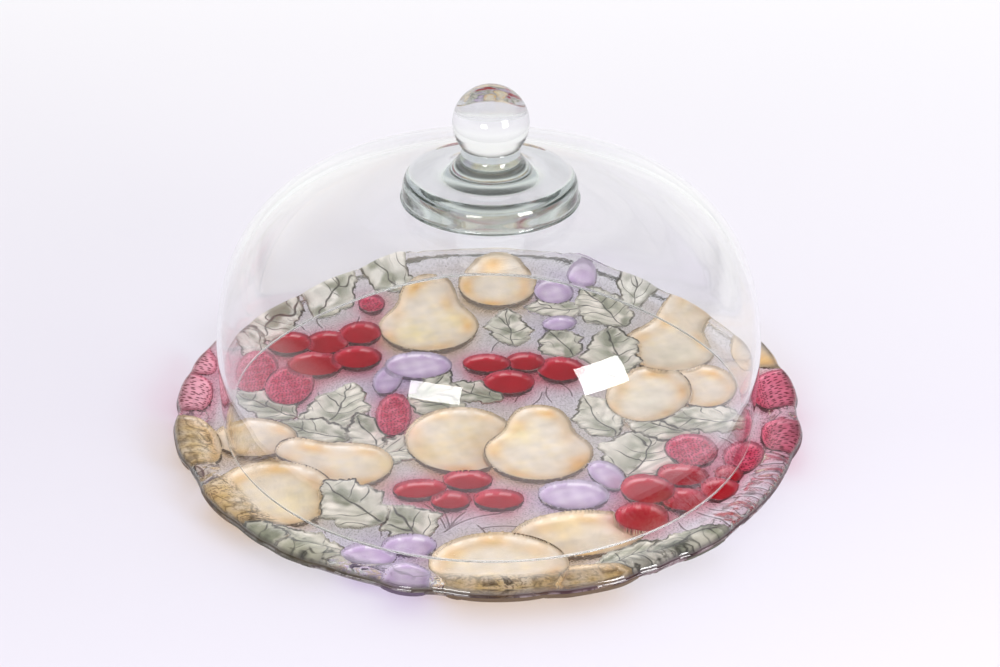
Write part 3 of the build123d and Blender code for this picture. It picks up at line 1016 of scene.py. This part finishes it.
# ---- Dome and knob ----
# Fused pieces overlap by a hair, so that light passes from one to the other; the dome's rim
# stands clear of the plate by a hair, because it only rests there.
HAIR = 0.05 * MM
WALL = 4.0 * MM
CROWN_WALL = 5.5 * MM
RIM_ROUND = 1.0 * MM
STRAIGHT = 35 * MM  # height of the upright part of the wall
FLAT = 70 * MM  # radius of the flat part of the crown
SHOULDER_OUT, SHOULDER_UP = 57 * MM, 33 * MM  # pull of the shoulder's curve, as in the CAD
INNER_OUT, INNER_UP = 55.3 * MM, 31 * MM
KNOB_SEAT = 12 * MM  # radius of the first ring about the crown's middle
foot = serving_face + HAIR
shoulder = serving_face + STRAIGHT
upright = np.linspace(shoulder - 3 * MM, serving_face + 4 * MM, 6)
inner_crown = crown - CROWN_WALL
inner = dome_radius - WALL
dome_profile = np.concatenate([
    [[0, crown]],
    [[r, crown] for r in np.linspace(KNOB_SEAT, FLAT - 4 * MM, 6)],
    bezier([
        (FLAT, crown), (FLAT + SHOULDER_OUT, crown), (dome_radius, shoulder + SHOULDER_UP),
        (dome_radius, shoulder),
    ], 72),
    [[dome_radius, z] for z in upright],
    arc((dome_radius - RIM_ROUND, foot + RIM_ROUND), RIM_ROUND, 0, -90, 8),
    arc((inner + RIM_ROUND, foot + RIM_ROUND), RIM_ROUND, -90, -180, 8),
    [[inner, z] for z in upright[::-1]],
    bezier([
        (inner, shoulder), (inner, shoulder + INNER_UP), (FLAT - WALL + INNER_OUT, inner_crown),
        (FLAT - WALL, inner_crown),
    ], 72),
    [[r, inner_crown] for r in np.linspace(FLAT - 10 * MM, KNOB_SEAT, 6)],
    [[0, inner_crown]],
])
lathe("dome_glass_shell", dome_profile, dome_glass, "dome", ("dome_shell",))

DISC = 43 * MM
DISC_FOOT = disc_high.x  # the disc spreads a little where it meets the dome
DISC_HEIGHT = 12.8 * MM
FOOT_CURVE = 1.8 * MM  # height up to which the disc's side curves out to its foot
FLAT_TOP = 36.5 * MM
COLLAR = 30 * MM
COLLAR_HEIGHT = 10.5 * MM
NECK = 14.3 * MM
disc_base = crown - HAIR
disc_top = crown + DISC_HEIGHT
neck_top = disc_high.z
disc_profile = np.concatenate([
    [[0, neck_top], [0, disc_base]],
    [[DISC_FOOT * share, disc_base] for share in (0.25, 0.5, 0.75, 1)],
    bezier([
        (DISC_FOOT, disc_base), (DISC + 0.4 * MM, crown + 0.3 * MM), (DISC, crown + FOOT_CURVE / 2),
        (DISC, crown + FOOT_CURVE),
    ], 6)[1:],
    bezier([
        (DISC, crown + FOOT_CURVE), (DISC, disc_top - 5 * MM), (DISC - 1 * MM, disc_top),
        (FLAT_TOP, disc_top),
    ], 24)[1:],
    [[(FLAT_TOP + COLLAR) / 2, disc_top]],
    bezier([
        (COLLAR, disc_top), ((COLLAR + NECK) / 2, disc_top), (NECK + 1 * MM, disc_top + COLLAR_HEIGHT / 2),
        (NECK, disc_top + COLLAR_HEIGHT),
    ], 24),
    [[NECK, neck_top - 0.6 * MM], [NECK - 0.3 * MM, neck_top]],
])
lathe("knob_disc_glass", disc_profile, disc_glass, "dome", ("knob_disc",))

ball_radius = ball_high.x
ball_centre = ball_high.z - ball_radius
ball_base = ball_low.z - HAIR
cut = math.degrees(math.asin((ball_base - ball_centre) / ball_radius))
ball_profile = np.concatenate([
    [[0, ball_base]],
    arc((0, ball_centre), ball_radius, cut, 90, 72)[:-1],
    [[0, ball_high.z]],
])
lathe("knob_ball_glass", ball_profile, ball_glass, "dome", ("knob_ball",))


# ---- Floor, light and camera ----
FLOOR = 6.0  # m, half its width
floor_mesh = bpy.data.meshes.new("floor")
floor_mesh.from_pydata(
    [(-FLOOR, -FLOOR, 0), (FLOOR, -FLOOR, 0), (FLOOR, FLOOR, 0), (-FLOOR, FLOOR, 0)], [], [(0, 1, 2, 3)]
)
floor = bpy.data.objects.new("floor", floor_mesh)
bpy.context.scene.collection.objects.link(floor)
# The floor is painted with a lavender shade in front that fades to white behind.
floor_painted_shade, graph, shader = new_material("floor_painted_shade")
painted_shade_fade = graph.mapped(graph.split(graph.coordinates["Object"])["Y"], 0.0, 0.9, 0.0, 1.0)
graph.put(shader, {
    "Base Color": graph.mixed(painted_shade_fade, (0.72, 0.69, 0.76), (0.99, 0.98, 0.99)),
    "Roughness": 0.6,
    "Specular IOR Level": 0.1,
})
floor_mesh.materials.append(floor_painted_shade)

LOOKED_AT = Vector((0, 0, 0.08))  # the point that the lamps face
SHINE_DISTANCE = 0.75  # m
# Each softbox: name, azimuth and elevation in degrees, distance, width, height and power.
SOFTBOXES = [
    ("front_right", (44, 20), 1.6, 0.5, 0.5, 16),
    ("front_left", (-20, 17), 2.0, 0.65, 0.38, 12),
]


def softbox(name, direction, distance, width, height, power):
    """A rectangular lamp that looks at the object."""
    azimuth, elevation = map(math.radians, direction)
    away = Vector((
        math.sin(azimuth) * math.cos(elevation),
        -math.cos(azimuth) * math.cos(elevation),
        math.sin(elevation),
    ))
    lamp = bpy.data.lights.new(name, "AREA")
    lamp.shape = "RECTANGLE"
    lamp.size, lamp.size_y = width, height
    lamp.energy = power
    obj = bpy.data.objects.new(name, lamp)
    bpy.context.scene.collection.objects.link(obj)
    obj.location = LOOKED_AT + away * distance
    obj.rotation_mode = "QUATERNION"
    obj.rotation_quaternion = (-away).to_track_quat("-Z", "Y")
    return obj


# Each softbox is two lamps: a large one lights the matt surfaces, a small one nearer by shines
# in the glass.
for name, direction, distance, width, height, power in SOFTBOXES:
    fill = softbox(f"{name}_fill", direction, distance, width, height, power)
    fill.visible_glossy = fill.visible_transmission = False
    nearer = SHINE_DISTANCE / distance
    shine = softbox(
        f"{name}_shine", direction, SHINE_DISTANCE, width * nearer, height * nearer, power * nearer**2,
    )
    shine.visible_camera = shine.visible_diffuse = shine.visible_transmission = False

# The world: an even fill for matt surfaces; for glass, a pale sweep low down all round and
# higher up behind, and a dim room above, beside and in front.
world = bpy.data.worlds.new("studio")
bpy.context.scene.world = world
world.use_nodes = True
graph = Graph(world.node_tree)
x, y, z = graph.split(graph.coordinates["Generated"])
sweep = graph.mapped(z, 0.28, 0.6, 1.0, 0.16, smooth=True)
room = graph.mapped(y, -0.7, 0.0, 0.12, 1.0, smooth=True)
beside = graph.mapped(graph.maths("ABSOLUTE", x), 0.5, 0.8, 1.0, 0.12, smooth=True)
low_down = graph.mapped(z, 0.1, 0.26, 1.0, 0.0, smooth=True)
seen = graph.product(sweep, graph.maths("MAXIMUM", low_down, graph.product(room, beside)))
path = graph.add("LightPath").outputs
even = graph.maths("MAXIMUM", path["Is Camera Ray"], path["Is Diffuse Ray"])
graph.put(graph.nodes["Background"], {"Color": graph.mixed(even, seen, (0.95, 0.95, 0.96))})

# The camera stands where the photo was taken from.
CAMERA_PLACE = Vector((-2 * MM, -726.8 * MM, serving_face + 468.3 * MM))
PITCH, YAW, ROLL = 0.5329, 0.0104, 0.0123  # radians: down, to the right, right side up
camera_data = bpy.data.cameras.new("camera")
camera_data.sensor_width = 36
camera_data.lens = 59.3
camera = bpy.data.objects.new("camera", camera_data)
bpy.context.scene.collection.objects.link(camera)
bpy.context.scene.camera = camera
forward = Vector((math.sin(YAW) * math.cos(PITCH), math.cos(YAW) * math.cos(PITCH), -math.sin(PITCH)))
right = Vector((math.cos(YAW), -math.sin(YAW), 0))
up = right.cross(forward)
rolled_right = right * math.cos(ROLL) + up * math.sin(ROLL)
rolled_up = -right * math.sin(ROLL) + up * math.cos(ROLL)
turned = Matrix((rolled_right, rolled_up, -forward)).transposed().to_4x4()
camera.matrix_world = Matrix.Translation(CAMERA_PLACE) @ turned

BOUNCES = 32  # enough for light to get through every wall of the dome and the knob
scene = bpy.context.scene
scene.view_settings.view_transform = "Standard"
scene.cycles.use_denoising = True
scene.cycles.max_bounces = BOUNCES
scene.cycles.glossy_bounces = BOUNCES
scene.cycles.transmission_bounces = BOUNCES
scene.cycles.transparent_max_bounces = BOUNCES
scene.cycles.sample_clamp_indirect = 4
